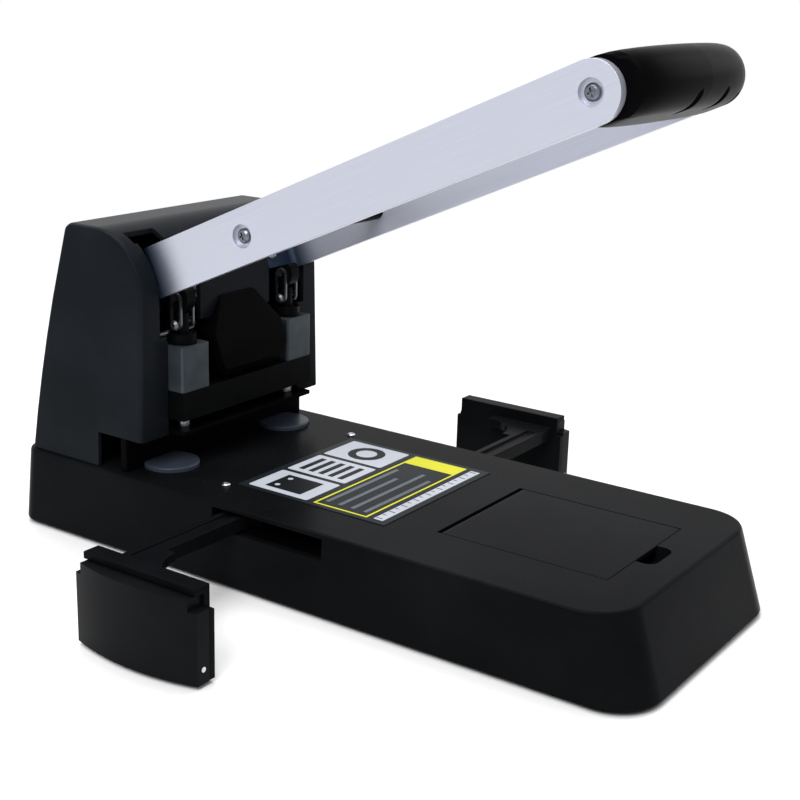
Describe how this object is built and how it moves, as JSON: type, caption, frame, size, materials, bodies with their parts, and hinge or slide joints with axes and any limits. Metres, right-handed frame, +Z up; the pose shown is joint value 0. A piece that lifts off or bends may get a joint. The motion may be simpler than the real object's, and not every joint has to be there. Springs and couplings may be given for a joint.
{
  "type": "heavy-duty two-hole paper punch",
  "caption": "Desk paper punch with a long two-arm lever, a tall head over a paper throat, round cutting pads, mirrored sliding paper guides and a lidded compartment in the base.",
  "frame": {"origin": "on the floor under the middle of the base, at the bottom of the rubber feet", "axes": "+Z up, -Y towards the grip and the user, +Y towards the head, X across the base"},
  "size_m": [0.321, 0.357, 0.2578],
  "materials": {
    "shell_plastic": "fine grained black moulding",
    "inner_plastic": "plain black moulding",
    "printed_film": "printed film",
    "rubber": "matt",
    "black_steel": "black coated steel",
    "zinc_steel": "bright zinc",
    "cast_grey": "bead blasted casting",
    "arm_aluminium": "satin anodised",
    "grip_plastic": "glossy",
    "pad_plastic": "satin",
    "pinion_nylon": "natural nylon"
  },
  "bodies": {
    "base": {"base_shell": "shell_plastic", "compartment_tray": "inner_plastic", "bottom_plate": "black_steel", "bottom_screws": "zinc_steel", "rubber_feet": "rubber", "top_panel": "printed_film", "deck_screws": "zinc_steel", "lid_pin": "zinc_steel", "head_cover": "shell_plastic", "head_screws": "zinc_steel", "left_frame": "black_steel", "right_frame": "black_steel", "anvil_block": "black_steel", "guide_bar": "black_steel", "throat_plate": "inner_plastic", "paper_stop": "inner_plastic", "centre_nose": "shell_plastic", "frame_screws": "zinc_steel", "tie_rods": "zinc_steel", "tie_nuts": "zinc_steel", "left_block": "cast_grey", "right_block": "cast_grey", "block_screws": "zinc_steel", "pivot_shaft": "zinc_steel", "pivot_spacers": "zinc_steel", "pivot_clips": "zinc_steel", "guide_tray": "inner_plastic", "pinion_pin": "zinc_steel"},
    "lever": {"lever_hub": "black_steel", "left_arm": "arm_aluminium", "right_arm": "arm_aluminium", "flange_screws": "zinc_steel", "arm_screws": "zinc_steel", "tie_tube": "black_steel", "grip": "grip_plastic", "grip_rod": "zinc_steel", "lift_pins": "zinc_steel", "return_spring": "zinc_steel"},
    "left_punch_set": {"left_plunger": "black_steel", "left_punch": "zinc_steel", "left_cross_pin": "zinc_steel", "left_links": "zinc_steel"},
    "right_punch_set": {"right_plunger": "black_steel", "right_punch": "zinc_steel", "right_cross_pin": "zinc_steel", "right_links": "zinc_steel"},
    "left_pad": {"left_pad": "pad_plastic"},
    "right_pad": {"right_pad": "pad_plastic"},
    "left_guide": {"left_guide": "shell_plastic", "left_cover": "shell_plastic", "left_cover_pin": "zinc_steel"},
    "right_guide": {"right_guide": "shell_plastic", "right_cover": "shell_plastic", "right_cover_pin": "zinc_steel"},
    "pinion": {"pinion": "pinion_nylon"},
    "lid": {"compartment_lid": "shell_plastic"}
  },
  "joints": [
    {"name": "lever_swing", "type": "hinge", "parent": "base", "child": "lever", "pos_m": [0, 0.126, 0.118], "axis": [1, 0, 0], "range_deg": [0, 30], "stiffness_Nm_per_rad": 2, "springref_deg": -57.3},
    {"name": "left_punch_stroke", "type": "slide", "parent": "base", "child": "left_punch_set", "axis": [0, 0, -1], "range_m": [0, 0.01812]},
    {"name": "right_punch_stroke", "type": "slide", "parent": "base", "child": "right_punch_set", "axis": [0, 0, -1], "range_m": [0, 0.01812]},
    {"name": "lid_swing", "type": "hinge", "parent": "base", "child": "lid", "pos_m": [0, -0.062, 0.0385], "axis": [-1, 0, 0], "range_deg": [0, 92]},
    {"name": "left_guide_slide", "type": "slide", "parent": "base", "child": "left_guide", "axis": [1, 0, 0], "range_m": [-0.016, 0.044]},
    {"name": "right_guide_slide", "type": "slide", "parent": "base", "child": "right_guide", "axis": [-1, 0, 0], "range_m": [-0.016, 0.044]},
    {"name": "pinion_turn", "type": "hinge", "parent": "base", "child": "pinion", "pos_m": [0, 0.012, 0.033], "axis": [0, 0, -1], "range_deg": [-66, 181]},
    {"name": "left_pad_turn", "type": "hinge", "parent": "base", "child": "left_pad", "pos_m": [-0.044, 0.0965, 0.038], "axis": [0, 0, 1], "continuous": true},
    {"name": "right_pad_turn", "type": "hinge", "parent": "base", "child": "right_pad", "pos_m": [0.044, 0.0965, 0.038], "axis": [0, 0, 1], "continuous": true}
  ],
  "couplings": [
    {"joint": "left_punch_stroke", "follows": "lever_swing", "m_per_rad": 0.0346},
    {"joint": "right_punch_stroke", "follows": "lever_swing", "m_per_rad": 0.0346},
    {"joint": "right_guide_slide", "follows": "left_guide_slide", "ratio": 1},
    {"joint": "pinion_turn", "follows": "left_guide_slide", "rad_per_m": 71.429}
  ]
}
